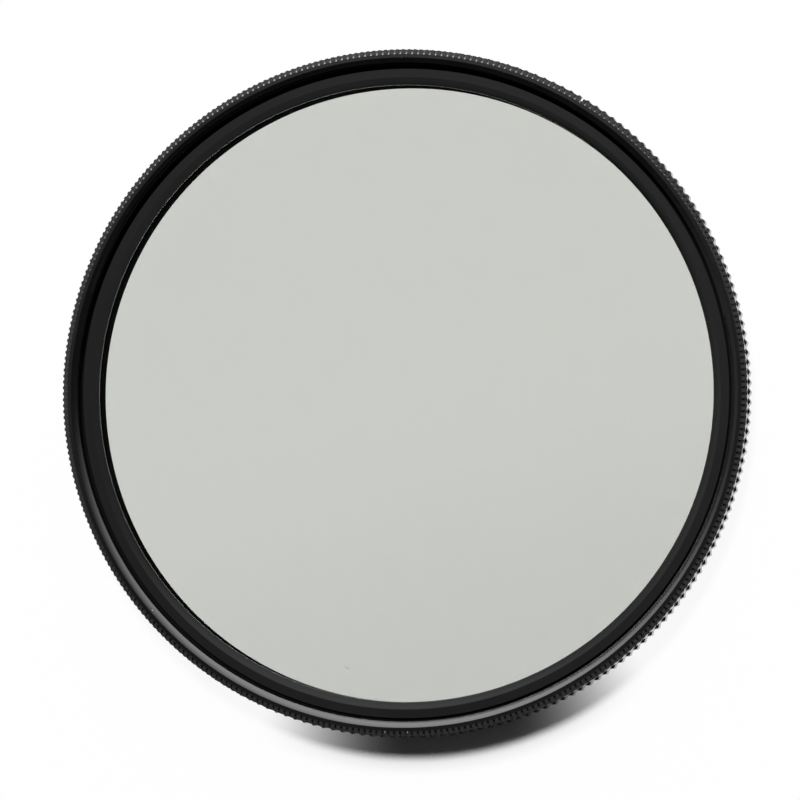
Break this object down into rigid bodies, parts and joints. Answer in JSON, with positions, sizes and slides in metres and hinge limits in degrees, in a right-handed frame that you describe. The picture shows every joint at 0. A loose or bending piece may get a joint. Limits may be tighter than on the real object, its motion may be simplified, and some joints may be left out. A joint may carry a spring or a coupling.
{
  "type": "screw-in lens filter",
  "caption": "Round screw-in polarising lens filter: a knurled front ring with laminated glass turns in a knurled mount ring that has a male lens thread.",
  "frame": {"origin": "centre of the rear end face, where the filter rests when it lies with its front up", "axes": "+Z along the optical axis, from the male thread at the rear to the front"},
  "size_m": [0.0696, 0.0696, 0.0076],
  "materials": {
    "mount_ring_aluminium": "satin black anodised",
    "front_ring_aluminium": "satin black anodised, turned",
    "retaining_ring_aluminium": "matt black anodised",
    "spring_steel": "spring steel",
    "coated_glass": "polished, coated",
    "polarising_film": "clear neutral grey film",
    "quarter_wave_film": "clear film"
  },
  "bodies": {
    "mount": {"mount_ring": "mount_ring_aluminium", "snap_ring": "spring_steel"},
    "front": {"front_ring": "front_ring_aluminium", "glass_retaining_ring": "retaining_ring_aluminium", "front_glass": "coated_glass", "polarising_film": "polarising_film", "quarter_wave_film": "quarter_wave_film", "rear_glass": "coated_glass"}
  },
  "joints": [
    {"name": "ring_turn", "type": "hinge", "parent": "mount", "child": "front", "pos_m": [0, 0, 0.0036], "axis": [0, 0, 1], "continuous": true}
  ]
}
